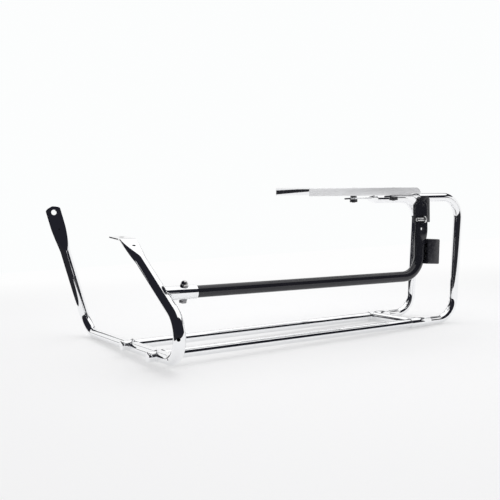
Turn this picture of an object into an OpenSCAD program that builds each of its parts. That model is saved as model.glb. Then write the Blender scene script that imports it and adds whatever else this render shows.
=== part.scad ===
// Saddlebag guard: a chromed tube cage that carries and protects one saddlebag.
// The cage lies on its outer side: X runs along the two rails to the rear,
// Y runs across them and Z is up. The origin is the centre of the bolt hole
// in the front paddle, on the middle of the paddle's thickness.

/* [Front guard tube] */
// Outer diameter of the front guard tube
guard_od = 22.2; // [19:0.1:26]
// Wall of the front guard tube
guard_wall = 1.65; // [1.2:0.05:2.5]
// Centreline radius of its three bends
guard_bend_r = 45.6; // [40:0.2:56]
// Distance from the cross leg up the arm to the paddle hole
arm_len = 285.8; // [240:0.2:310]
// Lean of the arm towards the front
arm_lean = 14.17; // [0:0.01:20]
// Rise of the cross leg from the arm to the rails
cross_rise = 1.49; // [0:0.01:4]
// Centre of the big bend, measured along the cross leg from the arm
bend_reach = 471.6; // [430:0.2:520]
// Angle between the sloping leg and the cross leg
leg_rise = 30.96; // [20:0.02:50]
// Distance along the sloping leg from the big bend to the flange
leg_len = 244; // [200:1:280]
// Pitch of the flange above the horizontal
flange_pitch = 5.4; // [0:0.1:10]
// Length of the flange
flange_len = 68; // [50:1:90]

/* [Flattened ends] */
// Width of a flattened guard tube end
paddle_w = 33.6; // [28:0.1:36]
// Thickness of a flattened tube end
paddle_t = 3.6; // [3:0.1:5]
// Bolt hole in the paddle
paddle_hole_d = 12; // [8:0.1:14]
// Bolt hole in the flange
flange_hole_d = 11; // [8:0.1:14]

/* [Rails and hoops] */
// Outer diameter of the rails and the hoops
rail_od = 19.05; // [16:0.05:22.2]
// Wall of the rails and the hoops
rail_wall = 1.65; // [1.2:0.05:2.5]
// Spacing of the two rails
rail_gap = 138.6; // [110:0.1:170]
// Near rail, measured along the cross leg from the arm
near_rail = 427.4; // [400:0.2:470]
// Height of the rails above the foot of the arm
rail_up = 11.44; // [8:0.02:14]
// Length of a rail stub in front of the cross leg
stub_len = 24.4; // [15:0.1:40]
// Front end of the rear sockets
socket_x = 591.5; // [560:0.5:620]
// Length of a rear socket
socket_len = 56; // [40:0.5:80]
// Outer diameter of a rear socket
socket_od = 22.2; // [21:0.1:26]
// Rear reach of the hoops at rail height
hoop_x = 722; // [700:0.5:760]
// Height of the hoops above the rails
hoop_h = 276.6; // [250:0.2:300]
// Centreline radius of the hoop bends
hoop_bend_r = 47; // [38:0.5:56]
// Sideways lean of the hoops
hoop_lean = 3.04; // [0:0.01:6]
// Rearward lean of the hoops
hoop_rake = 2.2; // [0:0.1:5]
// Front end of a hoop's flattened top leg
hoop_tip_x = 523; // [500:0.5:560]

/* [Top channel] */
// Front end of the channel
channel_x = 315; // [290:0.5:340]
// Length of the channel
channel_len = 294; // [260:0.5:320]
// Width over its two flanges
channel_w = 162; // [140:0.5:180]
// Depth of its flanges
channel_h = 16.5; // [12:0.1:24]
// Sheet thickness of the channel
channel_t = 2.4; // [1.5:0.1:4]
// Slant of its front end
channel_slant = 7.8; // [0:0.5:15]

/* [Support tube] */
// Outer diameter of the black support tube
support_od = 22.2; // [19:0.1:25]
// Outer diameter of the sleeve that holds its front end
sleeve_od = 25.4; // [24:0.1:30]
// Free end of the sleeve
sleeve_end = 62.5; // [40:0.5:80]
// Centreline radius of the support tube's bend
support_bend_r = 46; // [40:0.5:60]
// Rear reach of the support tube
support_x = 594; // [560:0.5:620]

/* [Hidden] */
$fn = 48;
// Height of the band over a seam in a bent tube
band = 0.04;
guard_r = guard_od / 2;
bore_r = guard_r - guard_wall;
rail_r = rail_od / 2;
support_r = support_od / 2;
// Corner where the arm's axis meets the cross leg's axis
corner = [
    arm_len * sin(arm_lean),
    -arm_len * cos(arm_lean) * sin(cross_rise),
    -arm_len * cos(arm_lean) * cos(cross_rise)
];
far_rail = near_rail - rail_gap;
mid_socket = socket_x + socket_len / 2;
// Height of the plane that the two hoops' flattened ends lie in
leg_z = rail_up + hoop_h * cos(hoop_lean);
flat_z = leg_z + 5.1;
hoop_side = hoop_h * sin(hoop_lean);
near_top_y = -near_rail - hoop_side;
far_top_y = -far_rail - hoop_side;
bolt_x_near = 538.5;
bolt_x_far = 540.5;
support_y = -451.4;
support_z = 124.54;
support_yaw = -0.62;
support_pitch = 0.54;
nut_pitch_x = 38.8;
nut_tilt = 14;
leg_dir = [0, cos(leg_rise), sin(leg_rise)];
leg_start = [
    0,
    -bend_reach - guard_bend_r * sin(leg_rise),
    guard_bend_r * (1 + cos(leg_rise))
];
flange_start = leg_start + leg_dir * leg_len;

// Unit direction from a to b
function heading(a, b) = (b - a) / norm(b - a);

// Signed turn at vertex i of a flat path
function turn_at(path, i) =
    let (
        u = heading(path[i - 1], path[i]),
        v = heading(path[i], path[i + 1])
    )
    atan2(u[0] * v[1] - u[1] * v[0], u[0] * v[0] + u[1] * v[1]);

// Length that the bend at vertex i takes from each straight
function trim_at(path, i, bend) =
    (i == 0 || i == len(path) - 1) ? 0 : bend * tan(abs(turn_at(path, i)) / 2);

// Straight round tube between two points of the bending plane
module bar(p, q, r, ri = 0) {
    way = q - p;
    translate([p[0], p[1], 0])
        rotate([0, 0, atan2(way[1], way[0])])
            rotate([0, 90, 0])
                linear_extrude(height = norm(way))
                    ring(r, ri);
}

// Cross-section of a tube, solid where the inner radius is nought
module ring(r, ri) {
    difference() {
        circle(r = r);
        if (ri > 0) circle(r = ri);
    }
}

// One bend, at vertex i of a flat path
module bend_piece(path, i, bend, r, ri) {
    u = heading(path[i - 1], path[i]);
    turn = turn_at(path, i);
    side = sign(turn);
    start = path[i] - u * trim_at(path, i, bend);
    centre = start + side * bend * [-u[1], u[0]];
    a = atan2(start[1] - centre[1], start[0] - centre[0]);
    translate([centre[0], centre[1], 0])
        rotate([0, 0, side > 0 ? a : a + turn])
            rotate_extrude(angle = abs(turn))
                translate([bend, 0])
                    ring(r, ri);
}

// Round tube bent along a flat path in the XY plane
module bent_bar(path, bend, r, ri = 0) {
    for (i = [0:len(path) - 2]) {
        u = heading(path[i], path[i + 1]);
        bar(
            path[i] + u * trim_at(path, i, bend),
            path[i + 1] - u * trim_at(path, i + 1, bend),
            r,
            ri
        );
    }
    if (len(path) > 2)
        for (i = [1:len(path) - 2]) {
            bend_piece(path, i, bend, r, ri);
            u = heading(path[i - 1], path[i]);
            v = heading(path[i], path[i + 1]);
            seam(path[i] - u * trim_at(path, i, bend), u, r, ri);
            seam(path[i] + v * trim_at(path, i, bend), v, r, ri);
        }
}

// Hair-thin band over a seam between a straight and a bend
module seam(p, u, r, ri) {
    bar(p - 0.5 * u, p + 0.5 * u, r + band, ri > 0 ? ri - band : 0);
}

// Stands a flat path up in the YZ plane
module stand_yz() {
    rotate([90, 0, 90]) children();
}

// Stands a flat path up in the XZ plane
module stand_xz() {
    rotate([90, 0, 0]) children();
}

// Moves children from the cross leg corner to the paddle hole's frame
module from_corner() {
    translate(corner) children();
}

// Guard tube's frame: the cross leg runs along -Y
module on_guard() {
    translate(corner) rotate([-cross_rise, 0, 0]) children();
}

// Arm's own frame: Z runs up the leaning arm
module on_arm() {
    rotate([0, -arm_lean, 0]) children();
}

// Frame at the start of the flange: Y runs along the flange
module on_flange() {
    translate(flange_start) rotate([flange_pitch, 0, 0]) children();
}

// Paths of the guard tube in their bending planes, for a given cut at the ends
function arm_path(top) = [[0, top], [0, 0], [-200, 0]];
function leg_path(far) = [
    [-200, 0],
    [-bend_reach - guard_bend_r * tan(90 - leg_rise / 2), 0],
    [leg_start[1] + leg_dir[1] * far, leg_start[2] + leg_dir[2] * far]
];

// Round length of the guard tube
module guard_core(top, far) {
    on_arm() stand_yz() bent_bar(arm_path(top), guard_bend_r, guard_r, bore_r);
    stand_yz() {
        bent_bar(leg_path(far), guard_bend_r, guard_r, bore_r);
        seam([-200, 0], [1, 0], guard_r, bore_r);
    }
}

// Flattened paddle with an arched top
module paddle() {
    on_arm()
        translate([0, paddle_t / 2, 0])
            rotate([90, 0, 0])
                linear_extrude(height = paddle_t)
                    intersection() {
                        translate([-paddle_w / 2, arm_len - 32])
                            square([paddle_w, 46]);
                        union() {
                            translate([0, arm_len - 6]) circle(r = 20);
                            translate([-20, arm_len - 40]) square([40, 34]);
                        }
                    }
}

// Taper from the round arm to the paddle
module paddle_taper() {
    on_arm()
        hull() {
            translate([0, 0, arm_len - 92]) cylinder(r = guard_r + 0.12, h = 3, $fn = 32);
            translate([-paddle_w / 2, -paddle_t / 2, arm_len - 33])
                cube([paddle_w, paddle_t, 1.5]);
        }
}

// Taper from the sloping leg to the flange
module flange_taper() {
    hull() {
        translate(leg_start)
            rotate([leg_rise - 90, 0, 0])
                translate([0, 0, leg_len - 80])
                    cylinder(r = guard_r + 0.12, h = 3, $fn = 32);
        on_flange()
            translate([-paddle_w / 2, -0.6, -paddle_t / 2])
                cube([paddle_w, 1.5, paddle_t]);
    }
}

// Flat flange with its tip's corners cut
module flange() {
    on_flange()
        translate([0, 0, -paddle_t / 2])
            linear_extrude(height = paddle_t)
                polygon([
                    [-paddle_w / 2, 0.4],
                    [paddle_w / 2, 0.4],
                    [paddle_w / 2, flange_len - 5],
                    [paddle_w / 2 - 5, flange_len],
                    [5 - paddle_w / 2, flange_len],
                    [-paddle_w / 2, flange_len - 5]
                ]);
}

module front_guard_tube() {
    color([0.86, 0.87, 0.88])
        on_guard()
            difference() {
                union() {
                    guard_core(arm_len - 90, leg_len - 78);
                    paddle_taper();
                    paddle();
                    flange_taper();
                    flange();
                }
                // Bolt hole in the paddle
                on_arm()
                    translate([0, 0, arm_len])
                        rotate([90, 0, 0])
                            translate([0, 0, -10])
                                cylinder(d = paddle_hole_d, h = 20);
                // Bolt hole in the flange
                on_flange()
                    translate([0, 36, -10])
                        cylinder(d = flange_hole_d, h = 20);
                // Drain holes
                on_arm()
                    translate([0, -1, arm_len - 39.5])
                        rotate([90, 0, 0])
                            cylinder(d = 3.2, h = 10);
                translate([0, -bend_reach - guard_bend_r, guard_bend_r - 4.5])
                    rotate([90, 0, -33])
                        cylinder(d = 6.8, h = 20);
                translate([0, -bend_reach - 14, 3.4])
                    rotate([90, 0, -75])
                        cylinder(d = 4, h = 20);
                translate(leg_start + leg_dir * (leg_len - 32))
                    rotate([leg_rise, 0, 0])
                        translate([1, 0, 1])
                            cylinder(d = 7, h = 20);
            }
}

// One length of rail tube, coped to the cross leg and closed at the stub's end
module rail_tube(y, front, back) {
    color([0.86, 0.87, 0.88])
        from_corner()
            difference() {
                translate([front, y, rail_up])
                    rotate([0, 90, 0])
                        cylinder(r = rail_r, h = back - front);
                translate([max(front, 2 - stub_len) - (front < 0 ? 0 : 1), y, rail_up])
                    rotate([0, 90, 0])
                        cylinder(r = rail_r - rail_wall, h = back - front + 2);
                rotate([-cross_rise, 0, 0])
                    translate([0, y - 40, 0])
                        rotate([-90, 0, 0])
                            cylinder(r = guard_r, h = 80);
            }
}

// Rails behind the cross leg
module near_rail_tube() {
    rail_tube(-near_rail, 0, mid_socket);
}

module far_rail_tube() {
    rail_tube(-far_rail, 0, mid_socket);
}

// Stubs in front of the cross leg, in line with the rails
module near_rail_stub() {
    rail_tube(-near_rail, -stub_len, 0);
}

module far_rail_stub() {
    rail_tube(-far_rail, -stub_len, 0);
}

// Socket that joins a rail to a hoop
module rear_socket(y) {
    color([0.86, 0.87, 0.88])
        from_corner()
            translate([socket_x, y, rail_up])
                rotate([0, 90, 0])
                    difference() {
                        cylinder(d = socket_od, h = socket_len);
                        translate([0, 0, -1])
                            cylinder(r = rail_r, h = socket_len + 2);
                    }
}

module near_rear_socket() {
    rear_socket(-near_rail);
}

module far_rear_socket() {
    rear_socket(-far_rail);
}

// Crossbar between the two sockets, coped to their round sides
module rear_crossbar() {
    color([0.86, 0.87, 0.88])
        from_corner()
            difference() {
                translate([socket_x + 13, -near_rail, rail_up])
                    rotate([-90, 0, 0])
                        difference() {
                            cylinder(r = rail_r, h = rail_gap);
                            translate([0, 0, -1])
                                cylinder(r = rail_r - rail_wall, h = rail_gap + 2);
                        }
                for (y = [-near_rail, -far_rail])
                    translate([socket_x - 20, y, rail_up])
                        rotate([0, 90, 0])
                            cylinder(d = socket_od, h = socket_len + 20);
            }
}

// Path of a hoop in its own plane
function hoop_path(rise) = [
    [mid_socket, 0],
    [hoop_x, 0],
    [hoop_x + (hoop_h + rise) * tan(hoop_rake), hoop_h + rise],
    [socket_x + 14, hoop_h + rise]
];

// One rear hoop: round tube with a flattened front end on its top leg
module rear_hoop(y, bolt_x, rise) {
    color([0.86, 0.87, 0.88])
        from_corner()
            difference() {
                union() {
                    translate([0, y, rail_up])
                        rotate([hoop_lean, 0, 0])
                            stand_xz()
                                bent_bar(
                                    hoop_path(rise),
                                    hoop_bend_r,
                                    rail_r,
                                    rail_r - rail_wall
                                );
                    hull() {
                        translate([socket_x + 13, y - hoop_side, leg_z + rise])
                            rotate([0, 90, 0])
                                cylinder(r = rail_r + 0.12, h = 3, $fn = 32);
                        translate([socket_x - 9, y - hoop_side - 14.5, flat_z - 3.4])
                            cube([1, 29, 3.4]);
                    }
                    translate([hoop_tip_x, y - hoop_side - 14.5, flat_z - 3.4])
                        cube([socket_x - 8.5 - hoop_tip_x, 29, 3.4]);
                }
                translate([bolt_x, y - hoop_side, flat_z - 20])
                    cylinder(d = 9, h = 40);
            }
}

module near_rear_hoop() {
    rear_hoop(-near_rail, bolt_x_near, 0);
}

module far_rear_hoop() {
    rear_hoop(-far_rail, bolt_x_far, 1.3);
}

// Frame of the top channel: origin at the near lower edge, level with the web
module on_channel() {
    translate([channel_x, near_top_y - 10.5, flat_z])
        rotate([2.75, 0, 0])
            children();
}

// Outline of the channel's side, with its rounded rear end
module channel_side() {
    difference() {
        square([channel_len, channel_h]);
        translate([channel_len - 14, channel_h - 14])
            difference() {
                square([15, 15]);
                circle(r = 14);
            }
    }
}

module top_channel() {
    color([0.82, 0.83, 0.84])
        from_corner()
            difference() {
                on_channel()
                    difference() {
                        translate([0, channel_w, 0])
                            rotate([90, 0, 0])
                                linear_extrude(height = channel_w)
                                    channel_side();
                        translate([-1, channel_w - channel_t, -1])
                            rotate([90, 0, 0])
                                linear_extrude(height = channel_w - 2 * channel_t)
                                    difference() {
                                        square([channel_len + 1 - channel_t, channel_h + 1 - channel_t]);
                                        translate([channel_len + 1 - 14, channel_h + 1 - 14])
                                            difference() {
                                                square([15, 15]);
                                                circle(r = 14 - channel_t);
                                            }
                                    }
                        // The front end is cut at a slant
                        rotate([0, 0, -channel_slant])
                            translate([-60, -1, -1])
                                cube([60, channel_w + 40, channel_h + 2]);
                        // The rear end stops short of the flange edges
                        translate([channel_len - 10, -1, -1])
                            cube([20, channel_w + 2, 6]);
                        translate([channel_len - 29, -1, -1])
                            cube([40, channel_w + 2, 4.4]);
                    }
                for (p = [[bolt_x_near, near_top_y], [bolt_x_far, far_top_y]])
                    translate([p[0], p[1], flat_z])
                        cylinder(d = 8, h = 60);
            }
}

// The two flush bolts through the channel and the hoops' flattened ends
module channel_bolts() {
    color([0.8, 0.8, 0.8])
        from_corner()
            for (p = [[bolt_x_near, near_top_y], [bolt_x_far, far_top_y]]) {
                top = channel_top(p[1]);
                translate([p[0], p[1], flat_z - 11])
                    cylinder(d = 8, h = top - flat_z + 10.6);
            }
}

// Height of the web's top face over a given Y
function channel_top(y) =
    flat_z + channel_h / cos(2.75) + (y - (near_top_y - 10.5)) * tan(2.75) + 0.45;

// Spacers that hold the web off the flattened ends
module channel_spacers() {
    color([0.55, 0.55, 0.56])
        from_corner()
            for (p = [[bolt_x_near, near_top_y], [bolt_x_far, far_top_y]])
                difference() {
                    translate([p[0], p[1], flat_z])
                        cylinder(d = 15, h = channel_top(p[1]) - flat_z - channel_t - 0.9);
                    translate([p[0], p[1], flat_z - 1])
                        cylinder(d = 8, h = 60);
                }
}

// Black nuts under the flattened ends
module channel_nuts() {
    color([0.06, 0.06, 0.07])
        from_corner()
            for (p = [[bolt_x_near, near_top_y], [bolt_x_far, far_top_y]])
                difference() {
                    translate([p[0], p[1], flat_z - 9.9])
                        cylinder(d = 19, h = 6.5, $fn = 6);
                    translate([p[0], p[1], flat_z - 14])
                        cylinder(d = 8, h = 20);
                }
}

// Support tube's own frame: X runs along its straight length
module on_support() {
    translate([0, support_y, support_z])
        rotate([0, support_pitch, support_yaw])
            children();
}

// Sloping leg as a solid, for coping the sleeve
module leg_solid() {
    stand_yz() bar(
        [leg_start[1] - leg_dir[1] * 5, leg_start[2] - leg_dir[2] * 5],
        [leg_start[1] + leg_dir[1] * 160, leg_start[2] + leg_dir[2] * 160],
        guard_r
    );
}

module support_sleeve() {
    color([0.86, 0.87, 0.88])
        from_corner()
            difference() {
                on_support()
                    rotate([0, 90, 0])
                        difference() {
                            cylinder(d = sleeve_od, h = sleeve_end);
                            translate([0, 0, 14])
                                cylinder(r = support_r, h = sleeve_end);
                        }
                rotate([-cross_rise, 0, 0]) leg_solid();
                on_bolt() translate([0, 0, -30]) cylinder(d = 8, h = 60);
            }
}

// Frame of the cross bolt: Z runs along the bolt
module on_bolt() {
    on_support()
        translate([nut_pitch_x, 0, 0])
            rotate([nut_tilt, 0, 0])
                children();
}

// Path of the support tube in its own frame
function support_path(front, top) = [[front, 0], [support_x, 0], [support_x, top]];

// Taper from the round upright to the flattened end
module support_taper() {
    on_support()
        hull() {
            translate([support_x, 0, 60])
                cylinder(r = support_r + 0.12, h = 3, $fn = 32);
            translate([support_x - 9.5, -2, 96])
                cube([33.5, 4, 1]);
        }
}

module support_tube() {
    color([0.05, 0.05, 0.06])
        from_corner()
            difference() {
                union() {
                    on_support()
                        stand_xz()
                            bent_bar(
                                support_path(14, 62),
                                support_bend_r,
                                support_r,
                                support_r - 1.65
                            );
                    support_taper();
                    on_support()
                        translate([0, 2, 0])
                            rotate([90, 0, 0])
                                linear_extrude(height = 4)
                                    union() {
                                        translate([support_x - 9.5, 96])
                                            square([33.5, 53]);
                                        translate([support_x + 2.5, 149])
                                            circle(r = 12);
                                        translate([support_x + 12, 149])
                                            circle(r = 12);
                                        translate([support_x + 2.5, 137])
                                            square([9.5, 24]);
                                    }
                }
                on_bolt() translate([0, 0, -30]) cylinder(d = 8, h = 60);
                // Holes in the flattened end
                on_support()
                    translate([support_x + 11, 0, 151.5])
                        rotate([90, 0, 0])
                            cylinder(d = 5.5, h = 20, center = true);
                on_support()
                    translate([support_x + 7, 0, 101])
                        rotate([90, 0, 0])
                            cylinder(d = 6.6, h = 20, center = true);
            }
}

// Hexagon bolt through the sleeve and the support tube
module sleeve_bolt() {
    color([0.78, 0.78, 0.79])
        from_corner()
            on_bolt() {
                translate([0, 0, -13]) cylinder(d = 8, h = 28);
                translate([0, 0, -18.6]) cylinder(d = 15, h = 5.7, $fn = 6);
            }
}

// Saddle washers between the sleeve and the bolt's head and nut
module sleeve_washers() {
    color([0.74, 0.74, 0.75])
        from_corner()
            difference() {
                on_bolt() {
                    translate([0, 0, 10]) cylinder(d = 15.4, h = 3);
                    translate([0, 0, -13]) cylinder(d = 15.4, h = 3);
                }
                on_support()
                    rotate([0, 90, 0])
                        cylinder(d = sleeve_od, h = sleeve_end + 40);
                on_bolt() translate([0, 0, -30]) cylinder(d = 8, h = 60);
            }
}

// Domed cap nut on the bolt's upper end
module sleeve_cap_nut() {
    color([0.84, 0.84, 0.85])
        from_corner()
            on_bolt()
                difference() {
                    translate([0, 0, 13]) {
                        cylinder(d = 15, h = 4.2, $fn = 6);
                        intersection() {
                            translate([0, 0, 3.4]) sphere(r = 6.3);
                            translate([0, 0, 3.3]) cylinder(d = 13, h = 8);
                        }
                    }
                    cylinder(d = 8, h = 15);
                }
}

// Tab welded to the near hoop's top leg, behind the support tube's end
module hoop_tab() {
    color([0.07, 0.07, 0.08])
        from_corner()
            difference() {
                on_support()
                    translate([0, 6.8, 0])
                        rotate([90, 0, 0])
                            linear_extrude(height = 4.8)
                                union() {
                                    polygon([
                                        [support_x - 10, 115],
                                        [support_x + 34, 115],
                                        [support_x + 34, 166],
                                        [support_x + 29, 171],
                                        [support_x + 11, 171],
                                        [support_x, 164],
                                        [support_x - 10, 153]
                                    ]);
                                }
                on_support()
                    translate([support_x + 11, 0, 151.5])
                        rotate([90, 0, 0])
                            cylinder(d = 5.5, h = 20, center = true);
                translate([500, near_top_y, leg_z])
                    rotate([0, 90, 0])
                        cylinder(r = rail_r, h = 200);
            }
}

// Short pin with a collar, set along the face of the flattened end
module tab_pin() {
    color([0.72, 0.72, 0.73])
        from_corner()
            on_support()
                difference() {
                    translate([support_x - 10, -5, 121])
                        rotate([0, 90, 0])
                            union() {
                                cylinder(d = 8, h = 18);
                                translate([0, 0, 17.5]) cylinder(d = 16, h = 4);
                            }
                    translate([support_x - 40, -2, 80])
                        cube([80, 20, 80]);
                }
}

// Open-backed box bracket on the support tube's upright
module box_bracket() {
    color([0.05, 0.05, 0.06])
        from_corner()
            difference() {
                on_support()
                    translate([support_x + 11.1, 0, 50])
                        rotate([0, 3.4, 0])
                            translate([0, -16.5, -24.5])
                                difference() {
                                    union() {
                                        translate([0, 3, 0]) cube([32, 15.5, 54]);
                                        translate([0, 0, 3]) cube([32, 16.5, 48]);
                                        for (z = [3, 51])
                                            translate([0, 3, z])
                                                rotate([0, 90, 0])
                                                    cylinder(r = 3, h = 32);
                                    }
                                    translate([3, 3, 3]) cube([26, 30, 48]);
                                    translate([-1, 5, 10]) cube([5, 8, 34]);
                                }
                on_support()
                    stand_xz()
                        bent_bar(support_path(300, 64), support_bend_r, support_r);
                support_taper();
            }
}

front_guard_tube();
near_rail_tube();
far_rail_tube();
near_rail_stub();
far_rail_stub();
near_rear_socket();
far_rear_socket();
rear_crossbar();
near_rear_hoop();
far_rear_hoop();
top_channel();
channel_bolts();
channel_spacers();
channel_nuts();
support_sleeve();
support_tube();
sleeve_bolt();
sleeve_washers();
sleeve_cap_nut();
hoop_tab();
tab_pin();
box_bracket();
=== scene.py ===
"""Saddlebag guard: chromed tube cage with a black support tube, set on a white sweep."""

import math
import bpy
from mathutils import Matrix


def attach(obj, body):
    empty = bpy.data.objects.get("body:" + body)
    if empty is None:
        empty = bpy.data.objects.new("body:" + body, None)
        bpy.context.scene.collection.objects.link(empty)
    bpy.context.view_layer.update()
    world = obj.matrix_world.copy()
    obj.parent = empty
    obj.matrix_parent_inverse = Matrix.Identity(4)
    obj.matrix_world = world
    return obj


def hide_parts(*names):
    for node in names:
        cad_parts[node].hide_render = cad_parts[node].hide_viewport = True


bl_info = {
    "name": "Saddlebag guard",
    "version": (1, 0, 0),
    "blender": (4, 5, 0),
    "location": "View3D > Sidebar > Saddlebag guard",
    "description": "Dresses the tube cage of one saddlebag and sets it on a pale sweep",
    "category": "Object",
}

import bmesh
import bpy
from bpy.props import FloatProperty, FloatVectorProperty, PointerProperty
from mathutils import Matrix, Vector, noise

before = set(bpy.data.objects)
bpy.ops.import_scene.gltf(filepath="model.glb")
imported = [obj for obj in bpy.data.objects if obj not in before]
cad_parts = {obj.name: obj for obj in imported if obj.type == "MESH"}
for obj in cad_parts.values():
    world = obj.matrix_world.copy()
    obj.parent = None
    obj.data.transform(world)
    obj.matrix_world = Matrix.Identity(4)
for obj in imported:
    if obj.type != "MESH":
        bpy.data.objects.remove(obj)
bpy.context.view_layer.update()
MM = 0.001
TAU = math.tau

# All sizes below are in millimetres and degrees, as the part's source gives them.
# Front guard tube: length and lean of its arm, and rise of its cross leg
ARM_LEN, ARM_LEAN, CROSS_RISE = 285.8, 14.17, 1.49
# Its big bend: radius of every bend, and the big bend's place along the cross leg
BEND_R, BEND_REACH = 45.6, 471.6
# Its sloping leg: rise above the cross leg, and length up to the flange
LEG_RISE, LEG_LEN = 30.96, 244.0
FLANGE_PITCH, FLANGE_LEN = 5.4, 68.0
# Its pressed ends: half width, half thickness and radius of the paddle's arch
FLAT_HALF_W, FLAT_HALF_T, ARCH_R = 16.8, 1.8, 25.0
# Paddle: tip beyond the bolt hole, and lengths from the tip to the taper and the round arm
PADDLE_TIP, PADDLE_FLAT, PADDLE_TAPER = 14, 47, 106
# Flange: length of the taper before it, radius of its fold, and its narrowed tip
FLANGE_TAPER, FLANGE_FOLD, FLANGE_TIP = 80, 14.0, 5
# Bolt holes: radius of the paddle's, radius of the flange's and its place along the flange
PADDLE_HOLE_R, FLANGE_HOLE_R, FLANGE_HOLE_AT = 6.0, 5.5, 36
# Drain holes: below the paddle's hole, short of the flange, and radii of all four
PADDLE_DRAIN_AT, LEG_DRAIN_AT = 39.5, 32
PADDLE_DRAIN_R, BEND_DRAIN_R, FOOT_DRAIN_R, LEG_DRAIN_R = 1.6, 3.4, 2.0, 3.5
# Depth of a cut that only has to pass a tube's wall, and of one through a pressed end
DRAIN_DEPTH, PADDLE_DRAIN_DEPTH, HOLE_DEPTH = 20, 10, 20
# Length of cross leg over which the tube's section turns from the arm's lean
TWIST_LEN = 300
# Rails: height over the arm's foot, near rail's place along the cross leg, and spacing
RAIL_UP, NEAR_RAIL, RAIL_GAP = 11.44, 427.4, 138.6
FAR_RAIL = NEAR_RAIL - RAIL_GAP
# Rear sockets: front end and length
SOCKET_X, SOCKET_LEN = 591.5, 56.0
MID_SOCKET = SOCKET_X + SOCKET_LEN / 2
# Hoops: reach, height, bend radius, sideways and rearward lean, and their front tip
HOOP_X, HOOP_H, HOOP_R, HOOP_LEAN, HOOP_RAKE, HOOP_TIP = 722.0, 276.6, 47.0, 3.04, 2.2, 523.0
# Where a hoop's round top leg ends and its pressed end starts, from the socket's front
ROUND_END, PRESS_START = SOCKET_X + 14, SOCKET_X - 9
# Half width and half thickness of a hoop's pressed end, its taper, crank and bolt hole
HOOP_HALF_W, HOOP_HALF_T, HOOP_TAPER, HOOP_CRANK_R, HOOP_HOLE_R = 14.5, 1.7, 23, 30.0, 4.5
# Channel: front end, length, width, depth, sheet, slant of its front and tilt
CHANNEL_X, CHANNEL_LEN, CHANNEL_W, CHANNEL_H, CHANNEL_T = 315.0, 294.0, 162.0, 16.5, 2.4
CHANNEL_SLANT, CHANNEL_TILT = 7.8, 2.75
# Radius of its rear corner, and of the inside of its folds
CHANNEL_CORNER, INNER_FOLD = 14, 0.9
# Steps at its rear: length and height of the first, and of the lower one ahead of it
STEP_LEN, STEP_H, LOW_STEP_LEN, LOW_STEP_H = 10, 5, 29, 3.4
# Support tube: place, yaw and pitch of its long leg, its rear reach and radius
SUPPORT_Y, SUPPORT_Z, SUPPORT_YAW, SUPPORT_PITCH = -451.4, 124.54, -0.62, 0.54
SUPPORT_X, SUPPORT_R = 594.0, 11.1
# Its bends: the large one and the two of the crank before its pressed end
SUPPORT_BEND, SUPPORT_CRANK = 46, 25
# Where the long leg leaves the sleeve's end, and the crank's offset, foot, head and tip
SUPPORT_FROM, CRANK_X, CRANK_FOOT, CRANK_HEAD, END_HIGH = 14, 7.25, 62, 97, 161
# Lengths from the tip to the round tube and to the full pressed width
PRESS_FROM, PRESS_TO = 99, 64
# Holes of the pressed end: along, height and radius of the upper and the lower one
UPPER_HOLE, LOWER_HOLE = (11, 151.5, 2.75), (7, 101, 3.3)
# Its pressed end: half width, half thickness, radius of the tip's corners
SUPPORT_HALF_W, SUPPORT_HALF_T, SUPPORT_TIP = 16.75, 2, 12
# Powers of the tube sections: a circle and a pressed end
ROUND, PRESSED = 2, 7
# Points round a weld bead
BEAD_POINTS = 12
# Radii of the beads' loops: round a rail, the crossbar, the sleeve and the socket's lip
RAIL_BEAD_R, CROSSBAR_BEAD_R, SLEEVE_BEAD_R, LIP_R = 9.9, 9.8, 12.6, 10.1
# Radii that the beads lie on: the cross leg or a socket, and the sloping leg
GUARD_BEAD_R, LEG_BEAD_R = 11.3, 11.4
# Radius of the fine bead at a socket's lip
LIP_BEAD = 0.9
# Crossbar's axis behind the sockets' front end
CROSSBAR_AT = 13


def rot(axis, degrees):
    """Rotation matrix about one axis."""
    return Matrix.Rotation(math.radians(degrees), 4, axis)


def move(x, y, z):
    """Translation matrix."""
    return Matrix.Translation((x, y, z))


LEAN, RISE = math.radians(ARM_LEAN), math.radians(CROSS_RISE)
CORNER = move(
    ARM_LEN * math.sin(LEAN),
    -ARM_LEN * math.cos(LEAN) * math.sin(RISE),
    -ARM_LEN * math.cos(LEAN) * math.cos(RISE),
)
GUARD = CORNER @ rot("X", -CROSS_RISE)
ARM = GUARD @ rot("Y", -ARM_LEAN)
SUPPORT = CORNER @ move(0, SUPPORT_Y, SUPPORT_Z) @ rot("Z", SUPPORT_YAW) @ rot("Y", SUPPORT_PITCH)
HOOP_SIDE = HOOP_H * math.sin(math.radians(HOOP_LEAN))
LEG_Z = RAIL_UP + HOOP_H * math.cos(math.radians(HOOP_LEAN))
# Top face of the hoops' pressed ends, which stands this much above the leg's axis
FLAT_Z = LEG_Z + 5.1
NEAR_TOP_Y = -NEAR_RAIL - HOOP_SIDE
CHANNEL = CORNER @ move(CHANNEL_X, NEAR_TOP_Y - 10.5, FLAT_Z) @ rot("X", CHANNEL_TILT)



class GuardSizes(bpy.types.PropertyGroup):
    """Sizes of the tubes and the sheet."""

    guard_radius: FloatProperty(
        name="Guard tube radius",
        description="Outer radius of the front guard tube",
        default=0.0111,
        unit="LENGTH",
    )
    rail_radius: FloatProperty(
        name="Rail radius",
        description="Outer radius of the rails and hoops",
        default=0.009525,
        unit="LENGTH",
    )
    sheet_corner: FloatProperty(
        name="Sheet corner",
        description="Outer radius of the channel's folded corners",
        default=0.0032,
        unit="LENGTH",
    )
    bead_radius: FloatProperty(
        name="Weld bead radius",
        description="Radius of the weld beads",
        default=0.0017,
        unit="LENGTH",
    )


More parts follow.
